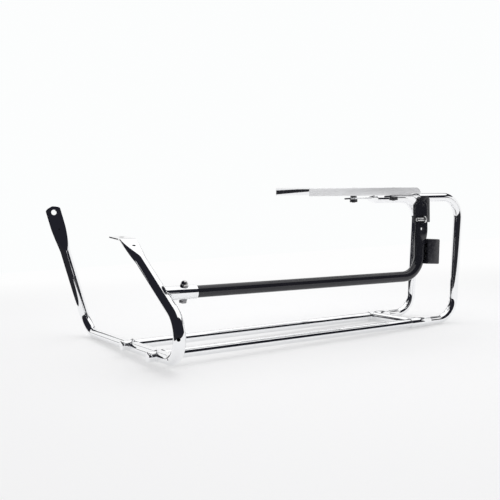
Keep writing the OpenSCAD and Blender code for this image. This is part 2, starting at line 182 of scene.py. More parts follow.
class GuardColours(bpy.types.PropertyGroup):
    """Colours of the finishes and the floor."""

    chrome: FloatVectorProperty(
        name="Chrome",
        description="Colour of the chrome plate",
        subtype="COLOR",
        default=(0.93, 0.935, 0.945),
    )
    paint: FloatVectorProperty(
        name="Black paint",
        description="Colour of the black paint",
        subtype="COLOR",
        default=(0.012, 0.012, 0.016),
    )
    zinc: FloatVectorProperty(
        name="Zinc",
        description="Colour of the zinc plated fasteners",
        subtype="COLOR",
        default=(0.30, 0.30, 0.31),
    )
    floor: FloatVectorProperty(
        name="Floor",
        description="Colour of the floor",
        subtype="COLOR",
        default=(0.93, 0.93, 0.93),
    )


def sizes():
    """The scene's size settings."""
    return bpy.context.scene.guard_sizes


def colours():
    """The scene's colour settings."""
    return bpy.context.scene.guard_colours



class Wire:
    """An output socket that takes part in Python sums."""

    def __init__(self, tree, out):
        self.tree = tree
        self.out = out

    def _sum(self, op, a, b):
        return self.tree.node("ShaderNodeMath", {"operation": op}, [a, b])

    def __add__(self, other):
        return self._sum("ADD", self, other)

    def __radd__(self, other):
        return self._sum("ADD", other, self)

    def __sub__(self, other):
        return self._sum("SUBTRACT", self, other)

    def __rsub__(self, other):
        return self._sum("SUBTRACT", other, self)

    def __mul__(self, other):
        return self._sum("MULTIPLY", self, other)

    def __rmul__(self, other):
        return self._sum("MULTIPLY", other, self)

    def __gt__(self, other):
        return self._sum("GREATER_THAN", self, other)


class Tree:
    """A material's or the world's node tree."""

    def __init__(self, owner):
        owner.use_nodes = True
        self.tree = owner.node_tree
        self.tree.nodes.clear()

    def node(self, kind, settings=None, inputs=None, out=0):
        """Adds a node: settings first, then the values or links of its sockets."""
        made = self.tree.nodes.new(kind)
        for key, value in (settings or {}).items():
            if key == "stops":
                ramp = made.color_ramp
                while len(ramp.elements) < len(value):
                    ramp.elements.new(0.5)
                for stop, (at, shade) in zip(ramp.elements, value):
                    stop.position = at
                    stop.color = (shade, shade, shade, 1)
            else:
                setattr(made, key, value)
        pairs = inputs.items() if isinstance(inputs, dict) else enumerate(inputs or [])
        for key, value in pairs:
            socket = made.inputs[key]
            if isinstance(value, Wire):
                self.tree.links.new(value.out, socket)
            elif socket.type == "RGBA" and len(value) == 3:
                socket.default_value = (*value, 1)
            else:
                socket.default_value = value
        return Wire(self, made.outputs[out]) if len(made.outputs) else None

    def noise(self, scale, detail=3.0, stretch=(1, 1, 1), rough=0.5):
        """Noise in object space, stretched by the factors given."""
        where = self.node("ShaderNodeTexCoord", out="Object")
        where = self.node("ShaderNodeMapping", None, {"Vector": where, "Scale": stretch})
        return self.node(
            "ShaderNodeTexNoise",
            None,
            {"Vector": where, "Scale": scale, "Detail": detail, "Roughness": rough},
        )

    def ramp(self, value, *stops):
        """Maps a value through grey stops."""
        return self.node("ShaderNodeValToRGB", {"stops": stops}, [value])

    def blend(self, fac, a, b):
        """Mixes two colours."""
        return self.node(
            "ShaderNodeMix", {"data_type": "RGBA"}, {0: fac, 6: a, 7: b}, out=2
        )

    def surface(self, shader):
        """Links a shader to the material output."""
        self.node("ShaderNodeOutputMaterial", None, {"Surface": shader})


def chrome(name, haze=0.0, scuff=0.35):
    """Chrome plate with fine scuffs, cloudy patches and a faint ripple."""
    mat = bpy.data.materials.new(name)
    t = Tree(mat)
    patches = t.ramp(t.noise(38, 5), (0.5, 0), (0.72, 1))
    streaks = t.ramp(t.noise(260, 4, (0.35, 1, 1)), (0.6, 0), (0.75, 1))
    specks = t.ramp(t.noise(900, 2), (0.68, 0), (0.76, 1))
    tone = t.blend(specks * 0.35 * scuff, (*colours().chrome,), (0.42, 0.41, 0.40))
    tone = t.blend(streaks * 0.22 * scuff, tone, (0.62, 0.62, 0.63))
    rough = patches * 0.07 * scuff + streaks * 0.10 * scuff
    rough = rough + specks * 0.2 * scuff + (0.035 + haze)
    waves = t.noise(60, 2)
    bump = t.node(
        "ShaderNodeBump", None, {"Strength": 0.015, "Distance": 0.0006, "Height": waves}
    )
    t.surface(
        t.node(
            "ShaderNodeBsdfPrincipled",
            None,
            {"Base Color": tone, "Metallic": 1.0, "Roughness": rough, "Normal": bump},
        )
    )
    return mat


def scuffed_sheet(name):
    """Chromed sheet worn hazy, cleaner towards its front end."""
    mat = bpy.data.materials.new(name)
    t = Tree(mat)
    where = t.node("ShaderNodeTexCoord", out="Object")
    along = t.node("ShaderNodeSeparateXYZ", None, [where])
    worn = t.node(
        "ShaderNodeMapRange",
        {"interpolation_type": "SMOOTHSTEP"},
        {"Value": along, "From Min": 0.44, "From Max": 0.60},
    )
    clouds = t.ramp(t.noise(45, 6, (0.4, 1, 1)), (0.35, 0), (0.7, 1))
    lines = t.ramp(t.noise(420, 4, (0.12, 1, 1)), (0.55, 0), (0.7, 1))
    marks = t.ramp(t.noise(150, 3), (0.66, 0), (0.74, 1))
    tone = t.blend(clouds * 0.3 + worn * 0.5, (0.95, 0.955, 0.96), (0.66, 0.66, 0.67))
    tone = t.blend(lines * 0.22, tone, (0.45, 0.45, 0.46))
    tone = t.blend(marks * 0.25, tone, (0.30, 0.29, 0.28))
    rough = worn * 0.16 + clouds * 0.14 + lines * 0.12 + 0.24
    metal = t.ramp(worn + clouds * 0.3, (0.0, 0.12), (1.0, 0.35))
    bump = t.node(
        "ShaderNodeBump", None, {"Strength": 0.12, "Distance": 0.0004, "Height": lines}
    )
    t.surface(
        t.node(
            "ShaderNodeBsdfPrincipled",
            None,
            {"Base Color": tone, "Metallic": metal, "Roughness": rough, "Normal": bump},
        )
    )
    return mat


def black_paint(name, rough=0.09, wear=0.5):
    """Black paint with orange peel, dust and worn-through flecks."""
    mat = bpy.data.materials.new(name)
    t = Tree(mat)
    cloud = t.ramp(t.noise(30, 4), (0.4, 0), (0.75, 1))
    flecks = t.ramp(t.noise(520, 3, (0.4, 1, 1)), (0.70, 0), (0.76, 1))
    edge = t.node("ShaderNodeNewGeometry", out="Pointiness")
    rub = t.ramp(edge, (0.53, 0), (0.60, 1))
    rub = rub * t.ramp(t.noise(190, 4), (0.42, 0), (0.62, 1))
    tone = t.blend(cloud * 0.35, (*colours().paint,), (0.022, 0.022, 0.027))
    tone = t.blend(flecks * 0.5 * wear, tone, (0.22, 0.21, 0.20))
    tone = t.blend(rub * wear, tone, (0.30, 0.30, 0.31))
    sheen = cloud * 0.06 + flecks * 0.2 + rub * 0.15 + rough
    peel = t.noise(700, 2)
    bump = t.node(
        "ShaderNodeBump", None, {"Strength": 0.05, "Distance": 0.0003, "Height": peel}
    )
    t.surface(
        t.node(
            "ShaderNodeBsdfPrincipled",
            None,
            {"Base Color": tone, "Roughness": sheen, "Normal": bump},
        )
    )
    return mat


def plated_steel(name, shade, rough=0.28):
    """Zinc plate or bare weld with a fine grain."""
    mat = bpy.data.materials.new(name)
    t = Tree(mat)
    grain = t.ramp(t.noise(800, 4), (0.35, 0), (0.7, 1))
    stain = t.ramp(t.noise(160, 4), (0.5, 0), (0.75, 1))
    darker = tuple(c * 0.45 for c in shade)
    tone = t.blend(grain * 0.3 + stain * 0.4, tuple(shade), darker)
    bump = t.node(
        "ShaderNodeBump", None, {"Strength": 0.2, "Distance": 0.0002, "Height": grain}
    )
    t.surface(
        t.node(
            "ShaderNodeBsdfPrincipled",
            None,
            {
                "Base Color": tone,
                "Metallic": 1.0,
                "Roughness": stain * 0.2 + rough,
                "Normal": bump,
            },
        )
    )
    return mat


def painted_hollow_shade(name):
    """Painted shade for a drain hole: near-black walls standing for the dark inside of the hollow
    tube.
    """
    mat = bpy.data.materials.new(name)
    t = Tree(mat)
    tone = t.blend(t.noise(400, 2), (0.004, 0.004, 0.004), (0.012, 0.012, 0.012))
    t.surface(t.node("ShaderNodeBsdfPrincipled", None, {"Base Color": tone, "Roughness": 0.9}))
    return mat



def add_mesh(name, bm, material, smooth=35):
    """Turns a bmesh into an object that is smooth apart from its sharp edges."""
    bmesh.ops.recalc_face_normals(bm, faces=bm.faces)
    limit = math.radians(smooth)
    for face in bm.faces:
        face.smooth = True
    for edge in bm.edges:
        sharp = len(edge.link_faces) == 2 and edge.calc_face_angle(0) > limit
        edge.smooth = not sharp
    mesh = bpy.data.meshes.new(name)
    bm.to_mesh(mesh)
    bm.free()
    obj = bpy.data.objects.new(name, mesh)
    bpy.context.scene.collection.objects.link(obj)
    mesh.materials.append(material)
    return obj


def carried(obj, slot, *nodes):
    """Parents a piece to the root body's empty and hides the CAD nodes that it replaces. Its slot
    is not used.
    """
    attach(obj, "root")
    if nodes:
        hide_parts(*nodes)
    return obj


def rounded(points, radii, step=6.0, turn=4.0):
    """Dense polyline through the points, with each corner bent to its radius."""
    points = [Vector(p) for p in points]
    line = [points[0]]
    for i in range(1, len(points) - 1):
        p = points[i]
        u = (p - points[i - 1]).normalized()
        v = (points[i + 1] - p).normalized()
        angle = u.angle(v)
        radius = radii[i - 1]
        trim = radius * math.tan(angle / 2)
        axis = u.cross(v).normalized()
        start = p - u * trim
        centre = start + axis.cross(u) * radius
        count = max(2, int(math.degrees(angle) / turn))
        for k in range(count + 1):
            spin = Matrix.Rotation(angle * k / count, 3, axis)
            line.append(centre + spin @ (start - centre))
    line.append(points[-1])
    dense = [line[0]]
    for a, b in zip(line, line[1:]):
        count = max(1, math.ceil((b - a).length / step))
        dense += [a + (b - a) * k / count for k in range(1, count + 1)]
    return dense


def keyed(keys, at):
    """Eased value of the (length, half width, half thickness, power) keys at a length."""
    if at <= keys[0][0]:
        return keys[0][1:]
    for a, b in zip(keys, keys[1:]):
        if at <= b[0]:
            f = (at - a[0]) / (b[0] - a[0])
            f = 0.5 * f + 0.5 * f * f * (3 - 2 * f)
            return tuple(p + (q - p) * f for p, q in zip(a[1:], b[1:]))
    return keys[-1][1:]


def section(centre, side, lift, half_w, half_t, power, count=48):
    """Ring of points: a circle that squares up as its power rises."""
    ring = []
    for i in range(count):
        c, s = math.cos(TAU * i / count), math.sin(TAU * i / count)
        x = math.copysign(abs(c) ** (2 / power), c) * half_w
        y = math.copysign(abs(s) ** (2 / power), s) * half_t
        ring.append(centre + side * x + lift * y)
    return ring


def skin(rings, closed=False):
    """Mesh over rings of points in millimetres."""
    bm = bmesh.new()
    rows = [[bm.verts.new(p * MM) for p in ring] for ring in rings]
    count = len(rows[0])
    pairs = list(zip(rows, rows[1:])) + ([(rows[-1], rows[0])] if closed else [])
    for a, b in pairs:
        for i in range(count):
            j = (i + 1) % count
            bm.faces.new((a[i], a[j], b[j], b[i]))
    if not closed:
        bm.faces.new(rows[0])
        bm.faces.new(rows[-1])
    return bm


def pipe(line, side_at, keys):
    """Mesh of a tube along a line, with its section keyed by the length run."""
    rings, run = [], 0.0
    for i, p in enumerate(line):
        a, b = line[max(i - 1, 0)], line[min(i + 1, len(line) - 1)]
        run += (p - a).length if i else 0.0
        ahead = (b - a).normalized()
        side = side_at(run)
        lift = ahead.cross(side).normalized()
        side = lift.cross(ahead).normalized()
        rings.append(section(p, side, lift, *keyed(keys, run)))
    return skin(rings)


def length_of(line):
    """Length of a polyline."""
    return sum((b - a).length for a, b in zip(line, line[1:]))


def cut(obj, cutters):
    """Takes round holes out of an object: (centre, axis, radius, depth, material)."""
    for centre, axis, radius, depth, material in cutters:
        bm = bmesh.new()
        way = Vector(axis).normalized()
        turn = way.to_track_quat("Z", "Y").to_matrix().to_4x4()
        place = Matrix.Translation((Vector(centre) + way * depth / 2) * MM) @ turn
        bmesh.ops.create_cone(
            bm,
            cap_ends=True,
            segments=40,
            radius1=radius * MM,
            radius2=radius * MM,
            depth=depth * MM,
            matrix=place,
        )
        tool = add_mesh("cutter", bm, material)
        boolean(obj, tool)
    shade(obj)


def shade(obj, limit=35):
    """Smooth shading, apart from edges sharper than the limit."""
    for poly in obj.data.polygons:
        poly.use_smooth = True
    obj.data.set_sharp_from_angle(angle=math.radians(limit))


def boolean(obj, tool):
    """Subtracts a tool object from an object and deletes the tool."""
    mod = obj.modifiers.new("cut", "BOOLEAN")
    mod.operation = "DIFFERENCE"
    mod.object = tool
    mod.solver = "EXACT"
    mod.material_mode = "TRANSFER"
    apply_all(obj)
    bpy.data.objects.remove(tool)


def apply_all(obj):
    """Applies an object's modifiers."""
    graph = bpy.context.evaluated_depsgraph_get()
    mesh = bpy.data.meshes.new_from_object(obj.evaluated_get(graph))
    obj.modifiers.clear()
    obj.data = mesh


def bead(line, radius, seed):
    """Weld bead along a closed line, with a ripple for each puddle."""
    rings = []
    count = len(line)
    for i, p in enumerate(line):
        ahead = (line[(i + 1) % count] - line[i - 1]).normalized()
        side = ahead.orthogonal().normalized()
        side = (side - ahead * side.dot(ahead)).normalized()
        lift = ahead.cross(side)
        puddle = abs(math.sin(i * 0.85 + seed))
        swell = radius * (0.82 + 0.22 * puddle + 0.18 * noise.noise(p * 0.21))
        rings.append(section(p, side, lift, swell, swell, ROUND, BEAD_POINTS))
    # the rings are turned so that each starts where the last one did
    for a, b in zip(rings, rings[1:]):
        best = min(range(BEAD_POINTS), key=lambda k: (b[k] - a[0]).length)
        b[:] = b[best:] + b[:best]
    shift = min(range(BEAD_POINTS), key=lambda k: (rings[0][k] - rings[-1][0]).length)
    rings.append(rings[0][shift:] + rings[0][:shift])
    return skin(rings)


def eased(node, material, slot, width=0.5):
    """Copy of a CAD node with softened edges, which stands for it."""
    bm = bmesh.new()
    bm.from_mesh(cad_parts[node].data)
    bmesh.ops.remove_doubles(bm, verts=bm.verts, dist=0.00001)
    bmesh.ops.dissolve_limit(
        bm, angle_limit=math.radians(0.6), verts=bm.verts, edges=bm.edges
    )
    obj = add_mesh(node + "_dressed", bm, material)
    mod = obj.modifiers.new("edges", "BEVEL")
    mod.width = width * MM
    mod.segments = 2
    mod.limit_method = "ANGLE"
    mod.angle_limit = math.radians(35)
    mod.use_clamp_overlap = True
    apply_all(obj)
    shade(obj, 38)
    carried(obj, slot, node)


def plate(node, material):
    """Gives a CAD node its material."""
    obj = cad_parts[node]
    obj.data.materials.clear()
    obj.data.materials.append(material)



class GUARD_OT_front_guard(bpy.types.Operator):
    """Build the bent front guard tube with its flattened ends and holes"""

    bl_idname = "saddlebag_guard.front_guard"
    bl_label = "Front guard tube"

    def execute(self, context):
        r = sizes().guard_radius / MM
        arm = [ARM @ Vector(p) for p in ((0, 0, ARM_LEN + PADDLE_TIP), (0, 0, 0))]
        rise = math.radians(LEG_RISE)
        way = Vector((0, math.cos(rise), math.sin(rise)))
        knee = Vector((0, -BEND_REACH - BEND_R / math.tan(rise / 2), 0))
        leg0 = Vector(
            (0, -BEND_REACH - BEND_R * math.sin(rise), BEND_R * (1 + math.cos(rise)))
        )
        flange = leg0 + way * LEG_LEN
        out = rot("X", FLANGE_PITCH) @ Vector((0, FLANGE_LEN, 0))
        tail = [GUARD @ p for p in (knee, flange, flange + out)]
        line = rounded(arm + tail, [BEND_R, BEND_R, FLANGE_FOLD], 2.5)
        cross_from = ARM_LEN + PADDLE_TIP - BEND_R

        def side_at(run):
            f = min(max((run - cross_from) / TWIST_LEN, 0), 1)
            spin = rot("Y", -ARM_LEAN * (1 - f))
            return (GUARD.to_3x3() @ (spin.to_3x3() @ Vector((1, 0, 0)))).normalized()

        plated = chrome("guard chrome", scuff=0.45)
        # the drain holes' walls get near-black painted shade for the dark inside of the tube
        dark = painted_hollow_shade("drain hole")
        keys = self.section_keys(r, length_of(line))
        obj = add_mesh("guard_tube", pipe(line, side_at, keys), plated)
        turn_arm, turn_guard = ARM.to_3x3(), GUARD.to_3x3()
        lay = rot("X", FLANGE_PITCH).to_3x3()
        through = turn_arm @ Vector((0, -1, 0))
        leg_up = Vector((0, -way.z, way.y))
        leg_hole = leg0 + way * (LEG_LEN - LEG_DRAIN_AT) + leg_up + Vector((1, 0, 0))
        arm_hole = Vector((0, HOLE_DEPTH / 2, ARM_LEN))
        arm_drain = Vector((0, -1, ARM_LEN - PADDLE_DRAIN_AT))
        bend_hole = Vector((0, -BEND_REACH - BEND_R, BEND_R - 4.5))
        foot_hole = Vector((0, -BEND_REACH - 14, 3.4))
        flange_hole = flange + lay @ Vector((0, FLANGE_HOLE_AT, 8))
        drop = turn_guard @ (lay @ Vector((0, 0, -1)))
        bend_way = turn_guard @ Vector((-0.545, -0.839, 0))
        foot_way = turn_guard @ Vector((-0.966, -0.259, 0))
        cut(
            obj,
            [
                (ARM @ arm_hole, through, PADDLE_HOLE_R, HOLE_DEPTH, plated),
                (GUARD @ flange_hole, drop, FLANGE_HOLE_R, 16, plated),
                (ARM @ arm_drain, through, PADDLE_DRAIN_R, PADDLE_DRAIN_DEPTH, dark),
                (GUARD @ bend_hole, bend_way, BEND_DRAIN_R, DRAIN_DEPTH, dark),
                (GUARD @ foot_hole, foot_way, FOOT_DRAIN_R, DRAIN_DEPTH, dark),
                (GUARD @ leg_hole, turn_guard @ leg_up, LEG_DRAIN_R, DRAIN_DEPTH, dark),
            ],
        )
        # painted dark reflection: the flange's edge faces get a dark grey metal in place of the
        # chrome's dark mirrored band
        obj.data.materials.append(plated_steel("flange edge painted reflection", (0.10, 0.10, 0.11), 0.45))
        painted_edge_slot = len(obj.data.materials) - 1
        low = (GUARD @ (flange + out * 0.15)).y * MM
        for poly in obj.data.polygons:
            at_flange = poly.center.y > low and poly.center.x > 0.04 and poly.center.z < 0
            if at_flange and poly.center.z > -0.075 and abs(poly.normal.z) < 0.5:
                poly.material_index = painted_edge_slot
        carried(obj, "guard_chrome", "front_guard_tube")
        return {"FINISHED"}

    def section_keys(self, r, total):
        """Keys of the tube: arched paddle, taper, round length, taper and flange."""
        w, t = FLAT_HALF_W, FLAT_HALF_T
        keys = []
        for k in range(9):
            half = w * math.sin(math.pi / 2 * (0.06 + 0.94 * k / 8))
            keys.append((ARCH_R - math.sqrt(ARCH_R**2 - half * half), half, t, PRESSED))
        flange = total - FLANGE_LEN
        return keys + [
            (PADDLE_FLAT, w, t, PRESSED),
            (PADDLE_TAPER, r, r, ROUND),
            (flange - FLANGE_TAPER, r, r, ROUND),
            (flange, w, t, PRESSED),
            (total - FLANGE_TIP, w, t, PRESSED),
            (total, w - FLANGE_TIP, t, PRESSED),
        ]


class GUARD_OT_rails(bpy.types.Operator):
    """Plate the rails, stubs, sockets and crossbar"""

    bl_idname = "saddlebag_guard.rails"
    bl_label = "Rails and sockets"

    def execute(self, context):
        plated = chrome("rail chrome", scuff=0.2)
        for node in ("near_rail_tube", "far_rail_tube", "rear_crossbar"):
            plate(node, plated)
        for node in ("near_rail_stub", "far_rail_stub", "near_rear_socket", "far_rear_socket"):
            eased(node, plated, "rail_chrome", 0.6)
        return {"FINISHED"}


class GUARD_OT_hoops(bpy.types.Operator):
    """Build the two rear hoops with their flattened front ends"""

    bl_idname = "saddlebag_guard.hoops"
    bl_label = "Rear hoops"

    def execute(self, context):
        r = sizes().rail_radius / MM
        plated = chrome("hoop chrome", scuff=0.2)
        # node, place across, place of its bolt and extra height that the tilt asks for
        rows = (
            ("near_rear_hoop", -NEAR_RAIL, 538.5, 0.0),
            ("far_rear_hoop", -FAR_RAIL, 540.5, 1.3),
        )
        for node, y, bolt_x, extra in rows:
            place = CORNER @ move(0, y, RAIL_UP) @ rot("X", HOOP_LEAN)
            high = HOOP_H + extra
            back = HOOP_X + high * math.tan(math.radians(HOOP_RAKE))
            points = [(MID_SOCKET, 0), (HOOP_X, 0), (back, high), (ROUND_END, high)]
            points = [place @ Vector((x, 0, z)) for x, z in points]
            flat_y = y - HOOP_SIDE
            for x in (PRESS_START, HOOP_TIP):
                points.append(CORNER @ Vector((x, flat_y, FLAT_Z - HOOP_HALF_T)))
            line = rounded(points, [HOOP_R, HOOP_R, HOOP_CRANK_R, HOOP_CRANK_R])
            total = length_of(line)
            end = total - (PRESS_START - HOOP_TIP)
            keys = [
                (end - HOOP_TAPER, r, r, ROUND),
                (end, HOOP_HALF_W, HOOP_HALF_T, PRESSED),
                (total - 4, HOOP_HALF_W, HOOP_HALF_T, PRESSED),
                (total, HOOP_HALF_W - 3, HOOP_HALF_T, PRESSED),
            ]
            tilt = rot("X", HOOP_LEAN).to_3x3() @ Vector((0, 1, 0))

            def side_at(run):
                f = min(max((run - end + HOOP_TAPER) / HOOP_TAPER, 0), 1)
                return tilt.lerp(Vector((0, 1, 0)), f).normalized()

            obj = add_mesh(node + "_tube", pipe(line, side_at, keys), plated)
            hole = CORNER @ Vector((bolt_x, flat_y, FLAT_Z - 12))
            cut(obj, [(hole, (0, 0, 1), HOOP_HOLE_R, HOLE_DEPTH, plated)])
            carried(obj, "hoop_chrome", node)
        return {"FINISHED"}


def lid_side(grow, corner):
    """Outline of the channel's side in X and Z, shrunk by a sheet's thickness."""
    far, top = CHANNEL_LEN - grow, CHANNEL_H - grow
    points = [(-20, -20 if grow else 0)]
    points.append((far, -20 if grow else 0))
    for k in range(9):
        a = math.pi / 2 * k / 8
        points.append((far - corner + corner * math.cos(a), top - corner + corner * math.sin(a)))
    points.append((-20, top))
    return points


def lid_block(grow, corner, fold):
    """Solid block of the channel's outside or inside, with its folds rounded."""
    bm = bmesh.new()
    outline = lid_side(grow, corner)
    near, far = grow, CHANNEL_W - grow
    rows = [[bm.verts.new((x * MM, y * MM, z * MM)) for x, z in outline] for y in (near, far)]
    count = len(outline)
    for i in range(count):
        j = (i + 1) % count
        bm.faces.new((rows[0][i], rows[0][j], rows[1][j], rows[1][i]))
    sides = [bm.faces.new(rows[0]), bm.faces.new(rows[1])]
    folds = []
    for edge in (e for f in sides for e in f.edges):
        ends = [v.co for v in edge.verts]
        above = max(co.z for co in ends) > 0.001 and edge.calc_length() > 0
        # the front end is cut off later, so its upright edges aren't folds
        if above and (min(co.x for co in ends) > -0.019 or ends[0].z == ends[1].z):
            folds.append(edge)
    bmesh.ops.bevel(
        bm,
        geom=folds,
        offset=fold * MM,
        segments=4,
        profile=0.5,
        affect="EDGES",
        clamp_overlap=True,
    )
    bmesh.ops.transform(bm, matrix=metres(CHANNEL), verts=bm.verts)
    return bm


def metres(matrix):
    """A millimetre placement as one in metres."""
    scaled = matrix.copy()
    scaled.translation = matrix.translation * MM
    return scaled


def block(low, high, place):
    """Box tool between two corners, in millimetres, at a placement."""
    bm = bmesh.new()
    bmesh.ops.create_cube(bm, size=1.0)
    low, high = Vector(low), Vector(high)
    for v in bm.verts:
        v.co = Vector([(low[i] + (high[i] - low[i]) * (v.co[i] + 0.5)) * MM for i in range(3)])
    bmesh.ops.transform(bm, matrix=metres(place), verts=bm.verts)
    return bm


class GUARD_OT_channel(bpy.types.Operator):
    """Fold the top channel and cut its ends"""

    bl_idname = "saddlebag_guard.channel"
    bl_label = "Top channel"

    def execute(self, context):
        sheet = scuffed_sheet("channel face")
        plated = chrome("channel chrome", scuff=0.5)
        fold = sizes().sheet_corner / MM
        obj = add_mesh("channel_lid", lid_block(0, CHANNEL_CORNER, fold), sheet)
        hollow = lid_block(CHANNEL_T, CHANNEL_CORNER - CHANNEL_T, INNER_FOLD)
        boolean(obj, add_mesh("cutter", hollow, plated))
        slant = CHANNEL @ rot("Z", -CHANNEL_SLANT)
        # the slanted front end, then the two steps under the rear end
        far, wide = CHANNEL_LEN + STEP_LEN, CHANNEL_W + 2
        cuts = [
            ((-90, -3, -4), (0, CHANNEL_W + 60, CHANNEL_H + 4), slant),
            ((CHANNEL_LEN - STEP_LEN, -1, -1), (far, wide, STEP_H), CHANNEL),
            ((CHANNEL_LEN - LOW_STEP_LEN, -1, -1), (far + 1, wide, LOW_STEP_H), CHANNEL),
        ]
        for low, high, place in cuts:
            boolean(obj, add_mesh("cutter", block(low, high, place), sheet))
        obj.data.materials.clear()
        obj.data.materials.append(plated)
        obj.data.materials.append(sheet)
        near_face = CHANNEL.to_3x3() @ Vector((0, -1, 0))
        back = CHANNEL.inverted()
        for poly in obj.data.polygons:
            at = back @ (poly.center / MM)
            poly.material_index = int(poly.normal.dot(near_face) > 0.6 and at.y < 4)
        mod = obj.modifiers.new("edges", "BEVEL")
        mod.width = 0.35 * MM
        mod.segments = 2
        mod.angle_limit = math.radians(50)
        apply_all(obj)
        shade(obj, 40)
        carried(obj, "channel_chrome", "top_channel")
        return {"FINISHED"}


class GUARD_OT_support(bpy.types.Operator):
    """Build the black support tube and finish its tab and bracket"""

    bl_idname = "saddlebag_guard.support"
    bl_label = "Support tube"

    def execute(self, context):
        paint = black_paint("black paint")
        mid = SUPPORT_X + CRANK_X
        points = [(SUPPORT_FROM, 0), (SUPPORT_X, 0), (SUPPORT_X, CRANK_FOOT)]
        points += [(mid, CRANK_HEAD), (mid, END_HIGH)]
        line = rounded(
            [SUPPORT @ Vector((x, 0, z)) for x, z in points],
            [SUPPORT_BEND, SUPPORT_CRANK, SUPPORT_CRANK],
        )
        total = length_of(line)
        r, w, t = SUPPORT_R, SUPPORT_HALF_W, SUPPORT_HALF_T
        tip = total - SUPPORT_TIP
        keys = [(total - PRESS_FROM, r, r, ROUND), (total - PRESS_TO, w, t, PRESSED)]
        keys.append((tip, w, t, PRESSED))
        for k in range(1, 8):
            a = math.pi / 2 * k / 7
            half = w - SUPPORT_TIP * (1 - math.cos(a))
            keys.append((tip + SUPPORT_TIP * math.sin(a), half, t, PRESSED))
        side = (SUPPORT.to_3x3() @ Vector((1, 0, 0))).normalized()
        up = (SUPPORT.to_3x3() @ Vector((0, 0, 1))).normalized()
        bend_from = SUPPORT_X - SUPPORT_FROM - SUPPORT_BEND
        bend_len = SUPPORT_BEND * math.pi / 2

        def side_at(run):
            f = min(max((run - bend_from) / bend_len, 0), 1) * math.pi / 2
            return (side * math.sin(f) - up * math.cos(f)).normalized()

        obj = add_mesh("support_tube_body", pipe(line, side_at, keys), paint)
        across = SUPPORT.to_3x3() @ Vector((0, 1, 0))
        holes = []
        for along, high, radius in (UPPER_HOLE, LOWER_HOLE):
            start = SUPPORT @ Vector((SUPPORT_X + along, -HOLE_DEPTH / 2, high))
            holes.append((start, across, radius, HOLE_DEPTH, paint))
        cut(obj, holes)
        carried(obj, "black_paint", "support_tube")
        matte = black_paint("bracket paint", 0.20, 0.25)
        eased("hoop_tab", matte, "black_paint", 0.5)
        eased("box_bracket", matte, "black_paint", 0.7)
        place = SUPPORT @ move(SUPPORT_X + SUPPORT_R, 0, 50) @ rot("Y", 3.4)
        place = place @ move(0, -16.5, -24.5)
        panel = block((2.5, 15.6, 2.5), (29.5, 18.3, 51.5), place)
        back = add_mesh("box_bracket_back", panel, matte)
        carried(back, "black_paint")
        return {"FINISHED"}


class GUARD_OT_fasteners(bpy.types.Operator):
    """Finish the sleeve, bolts, nuts, washers and pin"""

    bl_idname = "saddlebag_guard.fasteners"
    bl_label = "Fasteners"

    def execute(self, context):
        zinc = plated_steel("zinc steel", colours().zinc)
        plated = chrome("sleeve chrome", scuff=0.4)
        eased("support_sleeve", plated, "sleeve_chrome", 0.5)
        eased("tab_pin", plated_steel("pin zinc", (0.72, 0.72, 0.72)), "zinc_steel", 0.25)
        for node in ("channel_bolts", "channel_spacers", "sleeve_bolt", "sleeve_washers"):
            eased(node, zinc, "zinc_steel", 0.4)
        nut = black_paint("black nut", 0.34, 0.4)
        eased("channel_nuts", nut, "black_nut", 0.5)
        cap = plated_steel("cap nut chrome", (0.62, 0.61, 0.60), 0.18)
        eased("sleeve_cap_nut", cap, "cap_nut_chrome", 0.35)
        return {"FINISHED"}


def loop_round(steps, at):
    """Closed line of points given by an angle."""
    return [at(TAU * k / steps) for k in range(steps)]


def saddle(y, way):
    """Line where a rail or stub meets the cross leg."""
    slope = math.tan(math.radians(CROSS_RISE))

    def at(a):
        across = -y + RAIL_BEAD_R * math.cos(a)
        high = RAIL_UP + RAIL_BEAD_R * math.sin(a)
        off = high + across * slope
        x = math.sqrt(max(GUARD_BEAD_R**2 - off * off, 1.0))
        return CORNER @ Vector((way * x, across, high))

    return loop_round(72, at)


def socket_end(y):
    """Line round the rail where it enters its rear socket."""
    return loop_round(
        64,
        lambda a: CORNER
        @ Vector(
            (SOCKET_X - 0.3, -y + LIP_R * math.cos(a), RAIL_UP + LIP_R * math.sin(a))
        ),
    )


def crossbar_end(y, way):
    """Line round the crossbar where it meets a socket."""

    def at(a):
        along, high = CROSSBAR_BEAD_R * math.cos(a), CROSSBAR_BEAD_R * math.sin(a)
        off = math.sqrt(max(GUARD_BEAD_R**2 - high**2, 1))
        return CORNER @ Vector((SOCKET_X + CROSSBAR_AT + along, y + way * off, RAIL_UP + high))

    return loop_round(64, at)


def sleeve_end():
    """Line round the sleeve where it meets the sloping leg."""
    rise = math.radians(LEG_RISE)
    normal = math.radians(LEG_RISE - CROSS_RISE)
    up = Vector((0, -math.sin(normal), math.cos(normal)))
    foot = Vector((0, -BEND_REACH - BEND_R * math.sin(rise), BEND_R * (1 + math.cos(rise))))
    foot = GUARD @ foot
    way = (SUPPORT.to_3x3() @ Vector((1, 0, 0))).normalized()

    def at(a):
        p = SUPPORT @ Vector((0, SLEEVE_BEAD_R * math.cos(a), SLEEVE_BEAD_R * math.sin(a)))
        off = (p - foot).dot(up)
        return p + way * (math.sqrt(max(LEG_BEAD_R**2 - off * off, 0.0)) + 0.3)

    return loop_round(80, at)


